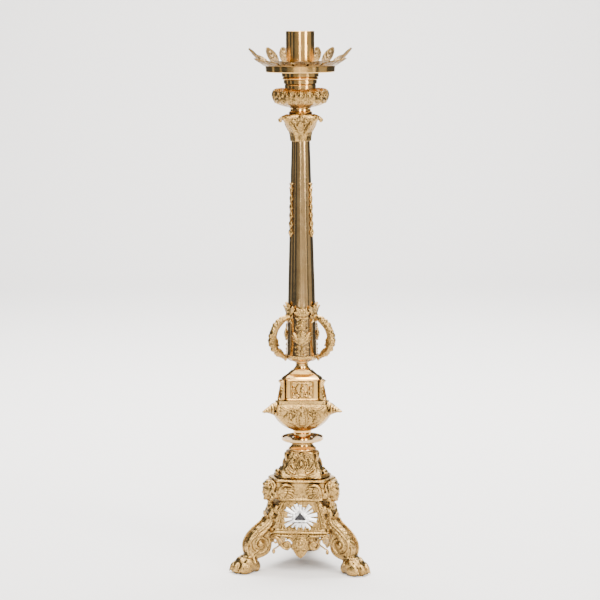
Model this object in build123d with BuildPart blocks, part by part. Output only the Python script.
from build123d import *

import os
from math import cos, pi, radians, sin

# Altar candlestick in cast and turned brass, three-sided, standing on three lion's paws.
# Millimetres. +Z is up and is the axis of the tie rod. Heights are drawn from a datum
# FLOOR_Z below the floor, and keep() sets each piece down so that the floor is z = 0.
# The base has one flat face to the front (-Y), a leg at each corner and one leg at the back.
# Every piece of the stack has a bore for the steel tie rod, which clamps it between two nuts.
# The drip pan lies loose on the top collar, and the candle socket screws down on it.

# ---------------------------------------------------------------- driving dimensions
TOP_Z = 790.0
FLOOR_Z = 6.0
CANDLE_D = 38.1  # a 1 1/2 inch candle
CANDLE_ROOM = 0.25  # radial
SOCKET_R = 20.5
ROD_R = 5.0  # M10
SLIP = 0.3  # radial room round the rod in the castings
RUN = 0.05  # radial room of a running fit
FIT = 0.1  # gap between an applied casting and what it is screwed to
STACK_TURN = 5.5  # degrees that the stack above the base stands turned on its rod

CORNERS = {"left": 210.0, "right": 330.0, "back": 90.0}
FACES = {"front": 270.0, "rear_right": 30.0, "rear_left": 150.0}

# Seats between the pieces of the stack, from the bottom up.
SPIDER_Z = 59.0
BODY_Z = 63.0
FRIEZE_Z = 112.0
BELL_Z = 142.0
COLLAR_Z = 180.0
DISC_Z = 190.0
SPOOL_Z = 194.0
BOWL_Z = 210.0
LEDGE_Z = 251.5
DRUM_Z = 256.5
LID_Z = 288.0
FOOT_SPOOL_Z = 299.5
CUP_Z = 312.0
COLUMN_Z = 317.0
CAPITAL_Z = 633.0
RING_Z = 672.0
KNOP_Z = 681.5
NECK_Z = 708.0
PAN_Z = 731.5
SOCKET_Z = 734.0
CANDLE_Z = 742.0  # the floor that the candle stands on

COLUMN_BOTTOM_R, COLUMN_TOP_R, COLUMN_WALL = 22.5, 13.3, 1.6
BODY_FOOT = (42.0, 56.5)  # distances of the faces and of the corner flats from the axis
BODY_NECK = (36.0, 42.0)
BODY_WALL = 4.0
PETALS = 18
PAW_R = 95.0

os.makedirs("parts", exist_ok=True)


def keep(part, label, turn=0.0):
    """Turns a finished piece, sets it down from the datum, labels it and writes it as one node."""
    placed = part.rotate(Axis.Z, turn).moved(Location((0, 0, -FLOOR_Z)))
    placed.label = label
    export_step(placed, f"parts/{label}.step")


def outline(points):
    """A closed face through the points, joined by straight lines."""
    with BuildLine() as edge:
        Polyline(*points, close=True)
    make_face(edge.edges())


def turned(points):
    """A piece turned on the lathe: (radius, z) points, spun about the rod's axis."""
    with BuildPart() as piece:
        with BuildSketch(Plane.XZ):
            outline(points)
        revolve(axis=Axis.Z)
    return piece.part


def three_sided(face, tip, swell=0.0):
    """An outline with three faces at distance face and three corner flats at distance tip.

    Each face bows outwards by swell, or inwards if it is negative.
    """
    half = (tip - face * cos(pi / 3)) / sin(pi / 3)
    with BuildLine() as edge:
        ends = []
        for angle in FACES.values():
            a = radians(angle)
            out, along = Vector(cos(a), sin(a)), Vector(-sin(a), cos(a))
            start, end = out * face - along * half, out * face + along * half
            ThreePointArc(start, out * (face + swell), end) if swell else Line(start, end)
            ends.append((start, end))
        # The faces are listed out of turn, so each one's end is joined to the nearest start.
        for _, end in ends:
            nearest = min((start for start, _ in ends), key=lambda start: (start - end).length)
            Line(end, nearest)
    make_face(edge.edges())


def three_sided_loft(*sections):
    """A solid through three-sided outlines, each given as (z, face, tip, swell)."""
    with BuildPart() as body:
        for z, face, tip, swell in sections:
            with BuildSketch(Plane.XY.offset(z)):
                three_sided(face, tip, swell)
        loft(ruled=True)
    return body.part


def hole_at(z_low, z_high, radius=ROD_R + SLIP):
    """Cuts a round hole on the axis between two heights."""
    with BuildSketch(Plane.XY.offset(z_low)) as bore:
        Circle(radius)
    extrude(bore.sketch, amount=z_high - z_low, mode=Mode.SUBTRACT)


def ring(z, height, outer, inner=ROD_R + SLIP):
    """A plain ring on the axis."""
    return turned([(inner, z), (outer, z), (outer, z + height), (inner, z + height)])


def column_r(z):
    """The tapered column's outer radius at a height."""
    share = (z - COLUMN_Z) / (CAPITAL_Z - COLUMN_Z)
    return COLUMN_BOTTOM_R + share * (COLUMN_TOP_R - COLUMN_BOTTOM_R)


def column_skin(z_low, z_high, thickness):
    """A ring of even thickness that hugs the column between two heights."""
    near, far = FIT, FIT + thickness
    return turned(
        [
            (column_r(z_low) + near, z_low),
            (column_r(z_low) + far, z_low),
            (column_r(z_high) + far, z_high),
            (column_r(z_high) + near, z_high),
        ]
    )


def stud(z, start_r, length, radius, taper=0.0):
    """A round bar along +X at a height, from start_r outwards."""
    with BuildPart() as bar:
        with BuildSketch(Plane.YZ.offset(start_r)):
            with Locations((0, z)):
                Circle(radius)
        extrude(amount=length, taper=taper)
    return bar.part


# ---------------------------------------------------------------- tie rod, nuts and washers
ROD_BOTTOM_Z, ROD_TOP_Z = 46.0, 741.0
NUT_SEAT_Z = 721.5  # floor of the recess in the top collar

with BuildPart() as tie_rod:
    with BuildSketch(Plane.XY.offset(ROD_BOTTOM_Z)):
        Circle(ROD_R)
    extrude(amount=ROD_TOP_Z - ROD_BOTTOM_Z)
    chamfer(tie_rod.edges().filter_by(GeomType.CIRCLE), 0.8)
keep(tie_rod.part, "tie_rod")

for label, z, height in (("base_nut", 49.0, 8.0), ("top_nut", NUT_SEAT_Z + 2, 6.0)):
    with BuildPart() as nut:
        with BuildSketch(Plane.XY.offset(z)):
            RegularPolygon(8.5, 6, major_radius=False)
            Circle(ROD_R + RUN, mode=Mode.SUBTRACT)
        extrude(amount=height)
    keep(nut.part, label)

keep(ring(SPIDER_Z - 2, 2, 14), "base_washer")
keep(ring(NUT_SEAT_Z, 2, 10), "top_washer")

# The spider bridges the hollow base from corner to corner, so that the base nut can pull on it.
with BuildPart() as spider_plate:
    with BuildSketch(Plane.XY.offset(SPIDER_Z)):
        Circle(18)
        for angle in CORNERS.values():
            with Locations(Rotation(0, 0, angle)):
                with Locations((32, 0)):
                    SlotOverall(38, 14)
        Circle(ROD_R + SLIP, mode=Mode.SUBTRACT)
    extrude(amount=BODY_Z - SPIDER_Z)
keep(spider_plate.part, "spider_plate")


# ---------------------------------------------------------------- base body with its mouldings
def corner_plane(z, depth=0.0):
    """A plane square to the body's sloping corner flat at +X, depth below its surface."""
    rise, run = FRIEZE_Z - BODY_Z, BODY_FOOT[1] - BODY_NECK[1]
    r = BODY_FOOT[1] - (z - BODY_Z) * run / rise
    normal = Vector(rise, 0, run).normalized()
    return Plane(origin=Vector(r, 0, z) - normal * depth, x_dir=(0, 1, 0), z_dir=normal)


BOLT_HEIGHTS = (74.0, 96.0)
BOLT_REACH = 6.0  # past the corner flat into the leg


def bolt_pieces(radius, depth, length):
    """Two round bars square to the corner flat at +X, one at the height of each leg bolt."""
    with BuildPart() as bars:
        for z in BOLT_HEIGHTS:
            with BuildSketch(corner_plane(z, depth)):
                Circle(radius)
            extrude(amount=length)
    return bars.part


def bolt_shanks(radius):
    """The shanks of one leg's bolts, through the body's wall into the leg."""
    return bolt_pieces(radius, BODY_WALL + 2, BODY_WALL + 2 + BOLT_REACH)


with BuildPart() as base_body:
    add(three_sided_loft((BODY_Z, *BODY_FOOT, 0), (FRIEZE_Z, *BODY_NECK, 0)))
    add(three_sided_loft((FRIEZE_Z, 37.5, 48.5, 0), (BELL_Z, 37.5, 48.5, 0)))
    for z, face, tip in ((BODY_Z, 44, 58), (FRIEZE_Z - 1.5, 39.5, 47), (BELL_Z - 4, 39.5, 49.5)):
        with BuildSketch(Plane.XY.offset(z)):
            three_sided(face, tip)
        extrude(amount=4)
    add(
        three_sided_loft((BODY_Z - 1, 38.2, 52.6, 0), (FRIEZE_Z, 32, 38, 0)),
        mode=Mode.SUBTRACT,
    )
    add(
        three_sided_loft((FRIEZE_Z, 32, 38, 0), (BELL_Z - 6, 32, 40, 0)),
        mode=Mode.SUBTRACT,
    )
    hole_at(BELL_Z - 8, BELL_Z + 1)
    for angle in CORNERS.values():
        add(bolt_shanks(3.3).rotate(Axis.Z, angle), mode=Mode.SUBTRACT)
keep(base_body.part, "base_body")

with BuildPart() as leg_bolts:
    for angle in CORNERS.values():
        add(bolt_shanks(3.0).rotate(Axis.Z, angle))
        add(bolt_pieces(5.0, BODY_WALL + 4, 3.0).rotate(Axis.Z, angle))
keep(leg_bolts.part, "leg_bolts")

# ---------------------------------------------------------------- bell, the top of the base
BELL_OUTSIDE = (
    (BELL_Z, 32.5, 42.5, -1),
    (150.0, 29.5, 41.0, -1),
    (156.0, 24.0, 33.5, -1),
    (162.0, 20.5, 28.0, -1),
    (174.0, 20.0, 27.0, -1),
    (COLLAR_Z, 18.8, 23.0, -1),
)
with BuildPart() as base_bell:
    add(three_sided_loft(*BELL_OUTSIDE))
    add(
        three_sided_loft(
            (BELL_Z - 1, 28.0, 37.0, 0),
            (150.0, 25.0, 35.0, 0),
            (157.0, 18.5, 26.5, 0),
            (COLLAR_Z - 5, 15.0, 20.0, 0),
        ),
        mode=Mode.SUBTRACT,
    )
    hole_at(COLLAR_Z - 6, COLLAR_Z + 1)
keep(base_bell.part, "base_bell")

# ---------------------------------------------------------------- legs with paws
LEG_HALF_WIDTH = 11.0


def leg():
    """One leg along +X: an S scroll down the body's corner to a knee volute on a lion's paw."""
    top, bottom = corner_plane(103, -FIT).origin, corner_plane(69, -FIT).origin
    with BuildPart() as casting:
        with BuildSketch(Plane.XZ):
            with BuildLine():
                back = Line((top.X, top.Z), (bottom.X, bottom.Z))
                under = Polyline(back @ 1, (58.5, 68.0), (58.5, 62.5))
                inside = Spline(under @ 1, (54.5, 56.0), (53.5, 45.0), (57.5, 33.0), (67.0, 28.0))
                sole = Line(inside @ 1, (80.0, 18.0))
                knee = Spline(
                    sole @ 1,
                    (92.0, 28.0),
                    (92.8, 38.0),
                    (92.5, 47.0),
                    (87.0, 57.5),
                    (78.5, 65.5),
                    (68.5, 71.8),
                    (61.5, 77.5),
                )
                hook = Spline(knee @ 1, (58.8, 84.0), (61.5, 91.5), (56.0, 98.0))
                Line(hook @ 1, back @ 0)
            make_face()
        extrude(amount=LEG_HALF_WIDTH, both=True)
        # The knee's volute stands a little proud of the leg on both sides.
        with BuildSketch(Plane.XZ):
            with Locations((73.5, 47.5)):
                Circle(17.5)
        extrude(amount=LEG_HALF_WIDTH + 2.5, both=True)
        # The pad of the paw, and its four toes, flat where they rest on the floor.
        with BuildSketch(Plane.XY.offset(FLOOR_Z)):
            with Locations((PAW_R - 2, 0)):
                Ellipse(18.5, 15.5)
        extrude(amount=20.0, taper=12)
        toe_z = FLOOR_Z + 6
        with Locations(*[(PAW_R + x, y, toe_z) for x, y in ((13, -5.5), (13, 5.5), (6, -11), (6, 11))]):
            Sphere(8.5)
        split(bisect_by=Plane.XY.offset(FLOOR_Z), keep=Keep.TOP)
        add(bolt_shanks(3.1), mode=Mode.SUBTRACT)
    return casting.part


one_leg = leg()
for side, angle in CORNERS.items():
    keep(one_leg, f"leg_{side}", angle)


# ---------------------------------------------------------------- winged heads at the corners
HEAD_R, HEAD_Z = 12.0, 129.0  # the skull; the jaw is a smaller ball below it
JAW_R, JAW_DROP = 9.5, 11.5
HEAD_OUT = 52.5
HEAD_BACK = 49.6  # just outside the top moulding's corner flat

with BuildPart() as wing:
    with BuildSketch(Plane.YZ.offset(37.5 + FIT)):
        with Locations((22.0, 127.0)):
            Ellipse(11.0, 8.0)
    extrude(amount=2.5)

with BuildPart() as corner_head:
    with Locations((HEAD_OUT, 0, HEAD_Z)):
        Sphere(HEAD_R)
    with Locations((HEAD_OUT, 0, HEAD_Z - JAW_DROP)):
        Sphere(JAW_R)
    with Locations((HEAD_BACK, 0, HEAD_Z)):
        Box(40, 40, 60, align=(Align.MAX, Align.CENTER, Align.CENTER), mode=Mode.SUBTRACT)
    # The wings lie along the two faces beside the corner.
    add(wing.part.rotate(Axis.Z, -60))
    add(wing.part.mirror(Plane.XZ).rotate(Axis.Z, 60))
for side, angle in CORNERS.items():
    keep(corner_head.part, f"corner_head_{side}", angle)

# ---------------------------------------------------------------- aprons under the three faces
with BuildPart() as apron:
    with BuildSketch(Plane.YZ.offset(37.9)):
        with BuildLine():
            top = Line((-38.0, BODY_Z), (38.0, BODY_Z))
            right = Line(top @ 1, (40.5, 55.0))
            scroll = Spline(right @ 1, (34.0, 54.5), (28.0, 48.0), (21.5, 39.5), (14.5, 43.0))
            tip = Spline(scroll @ 1, (13.0, 34.5), (0.0, 25.2))
            mirror(right, about=Plane.YZ)
            mirror(scroll, about=Plane.YZ)
            mirror(tip, about=Plane.YZ)
        make_face()
    extrude(amount=4.0)
    with BuildSketch(Plane.YZ.offset(41.9)):
        with Locations((0, 48.0)):
            Circle(8.0)
    extrude(amount=3.0, taper=30)
for side, angle in FACES.items():
    keep(apron.part, f"apron_{side}", angle)

# ---------------------------------------------------------------- radiant emblems on the faces
EMBLEM_HALF_WIDTH, EMBLEM_HALF_HEIGHT, EMBLEM_Z = 24.5, 19.0, 87.5
RAYS = 16
EMBLEM_THICKNESS = 1.8
face_fall = (BODY_FOOT[0] - BODY_NECK[0]) / (FRIEZE_Z - BODY_Z)
emblem_r = BODY_FOOT[0] - (EMBLEM_Z - BODY_Z) * face_fall
emblem_plane = Plane(
    origin=(emblem_r, 0, EMBLEM_Z), x_dir=(0, 1, 0), z_dir=Vector(1, 0, face_fall).normalized()
)

with BuildPart() as emblem_rays:
    with BuildSketch(emblem_plane.offset(FIT)):
        star = []
        for i in range(2 * RAYS):
            reach = 1.0 if i % 2 == 0 else 0.66
            a = pi * i / RAYS
            star.append((reach * EMBLEM_HALF_WIDTH * cos(a), reach * EMBLEM_HALF_HEIGHT * sin(a)))
        outline(star)
    extrude(amount=EMBLEM_THICKNESS)
with BuildPart() as emblem_triangle:
    with BuildSketch(emblem_plane.offset(FIT + EMBLEM_THICKNESS)):
        with Locations((0, -1)):
            RegularPolygon(7.5, 3, rotation=90)
    extrude(amount=1.0)
for side, angle in FACES.items():
    keep(emblem_rays.part, f"emblem_rays_{side}", angle)
    keep(emblem_triangle.part, f"emblem_triangle_{side}", angle)

# ---------------------------------------------------------------- collar, disc and lower spool
BORE = ROD_R + SLIP
with BuildPart() as lower_collar:
    with BuildSketch(Plane.XZ):
        with BuildLine():
            bottom = Line((BORE, COLLAR_Z), (19.5, COLLAR_Z))
            band = ThreePointArc(bottom @ 1, (20.6, COLLAR_Z + 1.7), (19.3, COLLAR_Z + 3.4))
            flare = ThreePointArc(band @ 1, (16.8, COLLAR_Z + 5.8), (15.5, DISC_Z))
            Polyline(flare @ 1, (BORE, DISC_Z), bottom @ 0)
        make_face()
    revolve(axis=Axis.Z)
keep(lower_collar.part, "lower_collar", STACK_TURN)

keep(
    turned(
        [
            (BORE, DISC_Z),
            (16.0, DISC_Z),
            (29.4, 194.2),
            (30.8, 195.6),
            (30.8, 199.2),
            (29.4, 199.2),
            (28.6, 196.8),
            (17.0, 192.8),
            (15.0, SPOOL_Z),
            (BORE, SPOOL_Z),
        ]
    ),
    "saucer_disc",
    STACK_TURN,
)

keep(
    turned(
        [
            (BORE, SPOOL_Z),
            (14.8, SPOOL_Z),
            (15.8, 196.0),
            (14.8, 198.0),
            (12.3, 199.4),
            (12.0, 205.0),
            (13.4, 207.0),
            (13.4, BOWL_Z),
            (BORE, BOWL_Z),
        ]
    ),
    "lower_spool",
    STACK_TURN,
)

# ---------------------------------------------------------------- vase: bowl, ledge, drum, lid
LIP_TIP_R = 66.0
with BuildPart() as lip_leaf:
    with BuildSketch(Plane.XZ):
        outline(
            [(38, 235), (50, 239), (LIP_TIP_R, 242.5), (LIP_TIP_R, 244.5), (53, 251.5)]
            + [(45, 254.0), (42.2, 254.0), (42.2, 251.0), (38, 250.0)]
        )
    extrude(amount=9.0, both=True)
    with BuildSketch(Plane.XY.offset(233)):
        outline([(30, -9), (50, -9), (LIP_TIP_R, -1), (LIP_TIP_R, 1), (50, 9), (30, 9)])
    extrude(amount=24, mode=Mode.INTERSECT)

with BuildPart() as vase_bowl:
    add(
        three_sided_loft(
            (BOWL_Z, 13.0, 14.5, 0),
            (213.0, 18.0, 21.0, 1),
            (218.0, 22.5, 29.0, 1),
            (226.0, 26.0, 38.0, 1),
            (235.0, 28.0, 46.0, 1),
            (245.0, 28.5, 49.0, 1),
            (LEDGE_Z, 25.0, 43.0, 0),
        )
    )
    # A pointed leaf reaches out from each corner of the lip.
    for angle in CORNERS.values():
        add(lip_leaf.part.rotate(Axis.Z, angle))
    add(
        three_sided_loft((216.0, 15.0, 18.0, 0), (235.0, 24.0, 38.0, 0), (LEDGE_Z + 1, 20.0, 34.0, 0)),
        mode=Mode.SUBTRACT,
    )
    hole_at(BOWL_Z - 1, 217)
keep(vase_bowl.part, "vase_bowl", STACK_TURN)

with BuildPart() as vase_ledge:
    with BuildSketch(Plane.XY.offset(LEDGE_Z)):
        three_sided(26.0, 42.0, -1.5)
        Circle(BORE, mode=Mode.SUBTRACT)
    extrude(amount=DRUM_Z - LEDGE_Z)
    fillet(vase_ledge.edges().group_by(Axis.Z)[-1].filter_by(GeomType.CIRCLE, reverse=True), 1.5)
keep(vase_ledge.part, "vase_ledge", STACK_TURN)

DRUM = (22.0, 31.0)
with BuildPart() as drum_panel:
    with BuildSketch(Plane.YZ.offset(DRUM[0] - 2)):
        with Locations((0, (DRUM_Z + LID_Z) / 2)):
            RectangleRounded(24, 24, 3)
    extrude(amount=2.6)

with BuildPart() as vase_drum:
    with BuildSketch(Plane.XY.offset(DRUM_Z)):
        three_sided(*DRUM, -1.2)
    extrude(amount=LID_Z - DRUM_Z)
    with BuildSketch(Plane.XY.offset(DRUM_Z)):
        three_sided(DRUM[0] - 4, DRUM[1] - 4)
    extrude(amount=LID_Z - DRUM_Z - 4, mode=Mode.SUBTRACT)
    hole_at(LID_Z - 5, LID_Z + 1)
    # A raised panel on each face.
    for angle in FACES.values():
        add(drum_panel.part.rotate(Axis.Z, angle))
keep(vase_drum.part, "vase_drum", STACK_TURN)

STRAP_HALF_WIDTH = 6.0
with BuildPart() as vase_strap:
    with BuildSketch(Plane.XZ):
        with BuildLine():
            x = DRUM[1] + FIT
            inner = Line((x, DRUM_Z + FIT), (x, LID_Z - 1))
            crown = Polyline(inner @ 1, (35.6, LID_Z - 1), (35.6, LID_Z - 7), (34.4, LID_Z - 9))
            curl = Spline(crown @ 1, (34.2, 271.0), (35.0, 263.0), (40.5, DRUM_Z + FIT))
            Line(curl @ 1, inner @ 0)
        make_face()
    extrude(amount=STRAP_HALF_WIDTH, both=True)
for side, angle in CORNERS.items():
    keep(vase_strap.part, f"vase_strap_{side}", angle + STACK_TURN)

with BuildPart() as vase_lid:
    add(
        three_sided_loft(
            (LID_Z, 20.5, 31.5, -1),
            (LID_Z + 2.2, 19.6, 30.0, -1),
            (294.5, 14.6, 22.5, -0.6),
            (FOOT_SPOOL_Z, 11.6, 14.5, -0.2),
        )
    )
    hole_at(LID_Z - 1, FOOT_SPOOL_Z + 1)
keep(vase_lid.part, "vase_lid", STACK_TURN)

# ---------------------------------------------------------------- column with its cup and plugs
keep(
    turned(
        [
            (BORE, FOOT_SPOOL_Z),
            (12.6, FOOT_SPOOL_Z),
            (12.8, 300.8),
            (10.4, 302.4),
            (9.3, 305.0),
            (9.3, 309.0),
            (10.8, 310.4),
            (10.8, CUP_Z),
            (BORE, CUP_Z),
        ]
    ),
    "foot_spool",
    STACK_TURN,
)

CUP_R, CUP_TOP_Z = 24.3, 322.0
with BuildPart() as column_cup:
    with BuildSketch(Plane.XZ):
        with BuildLine():
            bottom = Line((BORE, CUP_Z), (12.0, CUP_Z))
            bowl = ThreePointArc(bottom @ 1, (20.0, 314.6), (CUP_R, 318.0))
            recess = COLUMN_BOTTOM_R + 0.15
            Polyline(
                bowl @ 1,
                (CUP_R, CUP_TOP_Z),
                (recess, CUP_TOP_Z),
                (recess, COLUMN_Z),
                (BORE, COLUMN_Z),
                bottom @ 0,
            )
        make_face()
    revolve(axis=Axis.Z)
keep(column_cup.part, "column_cup", STACK_TURN)

PIN_HEIGHTS = {"handle": (387.0,), "leaf_mount": (368.0, 390.0), "garland": (501.0, 566.0)}

with BuildPart() as column_tube:
    with BuildSketch(Plane.XZ):
        outline(
            [
                (COLUMN_BOTTOM_R - COLUMN_WALL, COLUMN_Z),
                (COLUMN_BOTTOM_R, COLUMN_Z),
                (COLUMN_TOP_R, CAPITAL_Z),
                (COLUMN_TOP_R - COLUMN_WALL, CAPITAL_Z),
            ]
        )
    revolve(axis=Axis.Z)
    for kind, heights in PIN_HEIGHTS.items():
        sides = FACES if kind == "leaf_mount" else CORNERS
        for angle in sides.values():
            for z in heights:
                add(stud(z, column_r(z) - 4, 8, 1.1).rotate(Axis.Z, angle), mode=Mode.SUBTRACT)
keep(column_tube.part, "column_tube", STACK_TURN)

# A plug in each end of the tube keeps it central on the rod.
for label, z in (("column_foot_plug", COLUMN_Z), ("column_head_plug", CAPITAL_Z - 8)):
    inside = column_r(z + 8) - COLUMN_WALL - RUN
    keep(ring(z, 8, inside), label, STACK_TURN)

# ---------------------------------------------------------------- castings applied to the column
with BuildPart() as column_pins:
    for kind, heights in PIN_HEIGHTS.items():
        sides = FACES if kind == "leaf_mount" else CORNERS
        for angle in sides.values():
            for z in heights:
                r = column_r(z)
                add(stud(z, r - 2.5, 2.5 + 2.6, 1.0).rotate(Axis.Z, angle))
                add(stud(z, r + 2.6, 1.2, 1.8, taper=25).rotate(Axis.Z, angle))
keep(column_pins.part, "column_pins", STACK_TURN)


def applied(points, z_low, z_high, thickness, pins):
    """A casting at +X that hugs the column, cut to an outline of (sideways, z) points."""
    with BuildPart() as casting:
        add(column_skin(z_low, z_high, thickness))
        with BuildSketch(Plane.YZ):
            with BuildLine():
                edge = Spline(*points)
                Line(edge @ 1, (0, points[-1][1]))
                Line(edge @ 0, (0, points[0][1]))
                mirror(about=Plane.YZ)
            make_face()
        extrude(amount=60, mode=Mode.INTERSECT)
        for z in pins:
            # The screw's head sinks into a seat in the casting.
            add(stud(z, column_r(z) - 4, 14, 1.1), mode=Mode.SUBTRACT)
            add(stud(z, column_r(z) + 2.5, 6, 2.0), mode=Mode.SUBTRACT)
    return casting.part


garland = applied(
    [(1.2, 574), (2.8, 566), (2.6, 548), (3.8, 530), (3.4, 516), (4.8, 503), (2.0, 495)],
    495,
    574,
    3.6,
    PIN_HEIGHTS["garland"],
)
for side, angle in CORNERS.items():
    keep(garland, f"garland_{side}", angle + STACK_TURN)

# Under each face's leaf runs a strap, and the big leaf at its foot curls away from the column.
with BuildPart() as leaf_curl:
    with BuildSketch(Plane.XZ):
        r = column_r(350)
        outline([(r + 1, 360), (r + 4, 360), (r + 11, 347), (r + 9, 344), (r + 3, 349), (r + 1, 349)])
    extrude(amount=9, both=True)

with BuildPart() as leaf_mount:
    add(
        applied(
            [(1.0, 398), (7.0, 388), (5.0, 376), (5.6, 366), (13.0, 353), (9.0, 344), (3.2, 336)]
            + [(3.4, 328), (9.0, 324), (8.0, 322.4)],
            322.4,
            398,
            3.6,
            PIN_HEIGHTS["leaf_mount"],
        )
    )
    add(leaf_curl.part)
for side, angle in FACES.items():
    keep(leaf_mount.part, f"leaf_mount_{side}", angle + STACK_TURN)

HANDLE_OUT_R, HANDLE_HALF_WIDTH = 54.5, 4.0
with BuildPart() as handle:
    with BuildSketch(Plane.XZ):
        with BuildLine():
            seat_r = column_r(374) + FIT
            end_r = CUP_R + FIT
            outer = Spline(
                (seat_r + 1.5, 381.0),
                (33.0, 378.0),
                (47.0, 368.0),
                (HANDLE_OUT_R, 349.0),
                (51.0, 332.0),
                (39.0, 320.0),
                (end_r, 315.0),
            )
            foot = Line(outer @ 1, (end_r, 320.5))
            inner = Spline(
                foot @ 1,
                (36.0, 325.0),
                (45.5, 335.0),
                (48.5, 348.0),
                (43.0, 362.0),
                (32.0, 371.0),
                (seat_r + 1.5, 373.5),
            )
            Line(inner @ 1, outer @ 0)
        make_face()
    extrude(amount=HANDLE_HALF_WIDTH, both=True)
    add(
        applied(
            [(1.5, 398), (6.5, 390), (6.5, 382), (4.0, 374)], 374, 398, 3.6, PIN_HEIGHTS["handle"]
        )
    )
for side, angle in CORNERS.items():
    keep(handle.part, f"handle_{side}", angle + STACK_TURN)

# ---------------------------------------------------------------- capital, ring, knop and collar
with BuildPart() as capital:
    add(
        three_sided_loft(
            (CAPITAL_Z, 13.3, 14.0, 0),
            (645.0, 14.6, 16.8, 0),
            (653.0, 15.8, 21.5, 0),
            (660.0, 17.6, 30.0, -1),
            (664.0, 19.0, 36.0, -2),
            (668.0, 19.0, 36.0, -2),
            (669.0, 18.0, 26.0, -1),
            (RING_Z, 17.0, 23.0, -1),
        )
    )
    add(
        three_sided_loft((640.0, 9.5, 10.0, 0), (655.0, 11.5, 15.5, 0), (RING_Z - 4, 13.0, 20.0, 0)),
        mode=Mode.SUBTRACT,
    )
    hole_at(CAPITAL_Z - 1, RING_Z + 1)
keep(capital.part, "capital", STACK_TURN)

keep(
    turned(
        [
            (BORE, RING_Z),
            (16.4, RING_Z),
            (17.2, 673.4),
            (16.4, 675.2),
            (14.8, 676.4),
            (14.4, 679.0),
            (15.2, 680.4),
            (15.2, KNOP_Z),
            (BORE, KNOP_Z),
        ]
    ),
    "neck_ring",
    STACK_TURN,
)

KNOP_R = 41.2
with BuildPart() as knop:
    with BuildSketch(Plane.XZ):
        with BuildLine():
            under = Line((BORE, KNOP_Z), (19.0, KNOP_Z))
            belly = ThreePointArc(under @ 1, (32.5, 686.0), (40.3, 693.0))
            rim = ThreePointArc(belly @ 1, (KNOP_R, 698.0), (39.5, 703.2))
            shoulder = ThreePointArc(rim @ 1, (33.0, 706.2), (26.0, NECK_Z))
            # Cored from above, with a wall of about 3 mm.
            Polyline(
                shoulder @ 1,
                (21.0, NECK_Z),
                (21.0, NECK_Z - 3),
                (35.5, 702.0),
                (37.5, 698.0),
                (36.5, 694.5),
                (29.0, 690.5),
                (19.0, 686.5),
                (BORE, 686.5),
                under @ 0,
            )
        make_face()
    revolve(axis=Axis.Z)
keep(knop.part, "knop", STACK_TURN)

with BuildPart() as top_collar:
    with BuildSketch(Plane.XZ):
        with BuildLine():
            low = Polyline(
                (17.0, NECK_Z),
                (22.6, NECK_Z),
                (22.6, 713.0),
                (22.0, 714.4),
                (24.0, 715.4),
                (24.0, 720.6),
            )
            bead = ThreePointArc(low @ 1, (25.8, 722.4), (24.8, 724.2))
            Polyline(
                bead @ 1,
                (26.6, 725.4),
                (26.8, PAN_Z),
                (12.0, PAN_Z),
                (12.0, NUT_SEAT_Z),
                (BORE, NUT_SEAT_Z),
                (BORE, NUT_SEAT_Z - 4),
                (17.0, NUT_SEAT_Z - 4),
                low @ 0,
            )
        make_face()
    revolve(axis=Axis.Z)
keep(top_collar.part, "top_collar", STACK_TURN)

# ---------------------------------------------------------------- drip pan with its leaf gallery
PAN_R, PAN_RIM_Z, PAN_WALL = 50.4, 740.5, 1.5
with BuildPart() as drip_pan:
    with BuildSketch(Plane.XZ):
        outline(
            [
                (ROD_R + 1, PAN_Z),
                (PAN_R - 1.5, PAN_Z),
                (PAN_R - 0.7, PAN_Z + 1),
                (PAN_R, PAN_RIM_Z),
                (PAN_R - PAN_WALL, PAN_RIM_Z),
                (PAN_R - PAN_WALL - 0.6, PAN_Z + PAN_WALL),
                (ROD_R + 1, PAN_Z + PAN_WALL),
            ]
        )
    revolve(axis=Axis.Z)
keep(drip_pan.part, "drip_pan")

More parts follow.
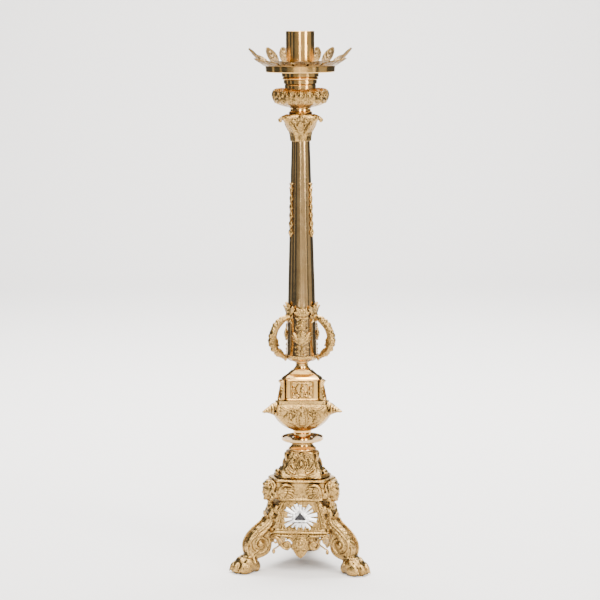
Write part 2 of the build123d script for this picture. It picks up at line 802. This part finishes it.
GALLERY_BASE_R, GALLERY_TIP_R, GALLERY_TIP_Z = 58.0, 75.2, 766.0
LEAF_HALF_WIDTH = 9.8
with BuildSketch(Plane.XY) as leaf_plan:
    with BuildLine():
        half = Spline(
            (GALLERY_BASE_R - 3, 0.6 * LEAF_HALF_WIDTH),
            (GALLERY_BASE_R + 4, LEAF_HALF_WIDTH),
            (GALLERY_BASE_R + 11, 0.72 * LEAF_HALF_WIDTH),
            (GALLERY_TIP_R + 0.2, 0.4),
        )
        Line(half @ 0, (GALLERY_BASE_R - 3, 0))
        Line(half @ 1, (GALLERY_TIP_R + 0.2, 0))
        mirror(about=Plane.XZ)
    make_face()

with BuildPart() as leaf_gallery:
    # A band stands inside the pan's rim, and flares out over it into a ring of leaves.
    with BuildSketch(Plane.XZ):
        with BuildLine():
            inside_r = PAN_R - PAN_WALL - 0.8
            band = Line((inside_r - 1.2, PAN_Z + 2.5), (inside_r, PAN_Z + 2.5))
            up = Line(band @ 1, (inside_r, PAN_RIM_Z + 0.4))
            under = Polyline(up @ 1, (PAN_R + 0.4, PAN_RIM_Z + 0.4), (GALLERY_TIP_R, GALLERY_TIP_Z))
            top = Polyline(
                under @ 1, (GALLERY_TIP_R - 1.2, GALLERY_TIP_Z), (inside_r - 1.2, PAN_RIM_Z + 1)
            )
            Line(top @ 1, band @ 0)
        make_face()
    revolve(axis=Axis.Z)
    # Pointed ovals in plan, one to a leaf, on top of the part of the flare that stays whole.
    with BuildSketch(Plane.XY.offset(PAN_Z)):
        Circle(GALLERY_BASE_R)
        for i in range(PETALS):
            add(leaf_plan.sketch.rotate(Axis.Z, 360 / PETALS * (i + 0.5)))
    extrude(amount=GALLERY_TIP_Z - PAN_Z + 1, mode=Mode.INTERSECT)
keep(leaf_gallery.part, "leaf_gallery", STACK_TURN)

# ---------------------------------------------------------------- candle socket
BORE_R = CANDLE_D / 2 + CANDLE_ROOM
keep(ring(PAN_Z + PAN_WALL, SOCKET_Z - PAN_Z - PAN_WALL, 14, ROD_R + 0.5), "socket_washer")
keep(ring(SOCKET_Z, CANDLE_Z - SOCKET_Z, SOCKET_R, ROD_R + RUN), "socket_floor")

with BuildPart() as socket_tube:
    with BuildSketch(Plane.XY.offset(CANDLE_Z)):
        Circle(SOCKET_R)
        Circle(BORE_R, mode=Mode.SUBTRACT)
    extrude(amount=TOP_Z - CANDLE_Z)
    fillet(socket_tube.edges().group_by(Axis.Z)[-1], 0.4)
keep(socket_tube.part, "socket_tube")
